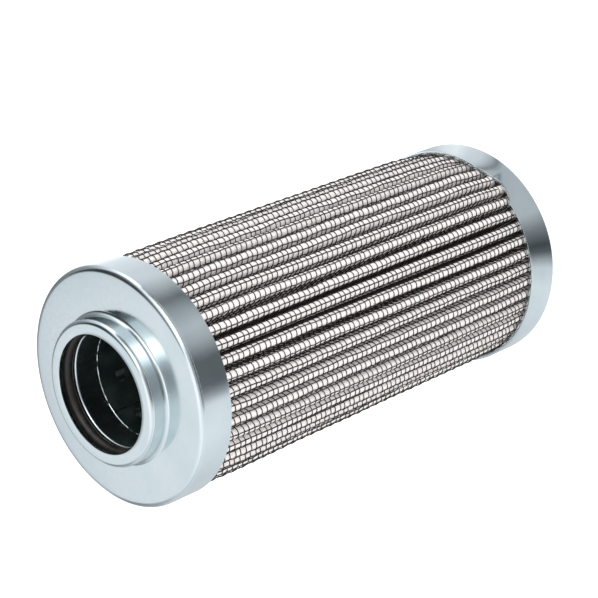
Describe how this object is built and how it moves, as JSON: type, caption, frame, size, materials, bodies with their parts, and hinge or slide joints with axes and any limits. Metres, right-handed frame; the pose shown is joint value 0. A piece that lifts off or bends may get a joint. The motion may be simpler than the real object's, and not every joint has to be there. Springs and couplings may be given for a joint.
{
  "type": "pleated hydraulic filter element",
  "caption": "Pleated filter cartridge: white fibre media in dark wire mesh between two pressed steel end caps, one closed, one with a sealed neck around the hollow core.",
  "frame": {"origin": "centre of the outer face of the closed end cap, on which it stands", "axes": "+Z along the axis towards the open end; -Y faces the picture's camera"},
  "size_m": [0.052, 0.052, 0.1182],
  "materials": {
    "plated_steel": "zinc plated, smooth, pale bluish",
    "core_steel": "dark, satin",
    "bare_wire": "plain wire",
    "coated_wire": "black coating, satin",
    "fleece": "soft fibre, matte",
    "adhesive": "cured, slightly glossy",
    "seal_rubber": "smooth, slightly oiled"
  },
  "bodies": {
    "root": {"front_end_cap": "plated_steel", "o_ring": "seal_rubber", "neck_sleeve": "plated_steel", "support_core": "core_steel", "inner_wire_mesh": "bare_wire", "inner_fleece": "fleece", "filter_media": "fleece", "outer_fleece": "fleece", "outer_wire_mesh": "coated_wire", "pleat_seam": "adhesive", "front_potting": "adhesive", "rear_potting": "adhesive", "rear_end_cap": "plated_steel"}
  },
  "joints": []
}
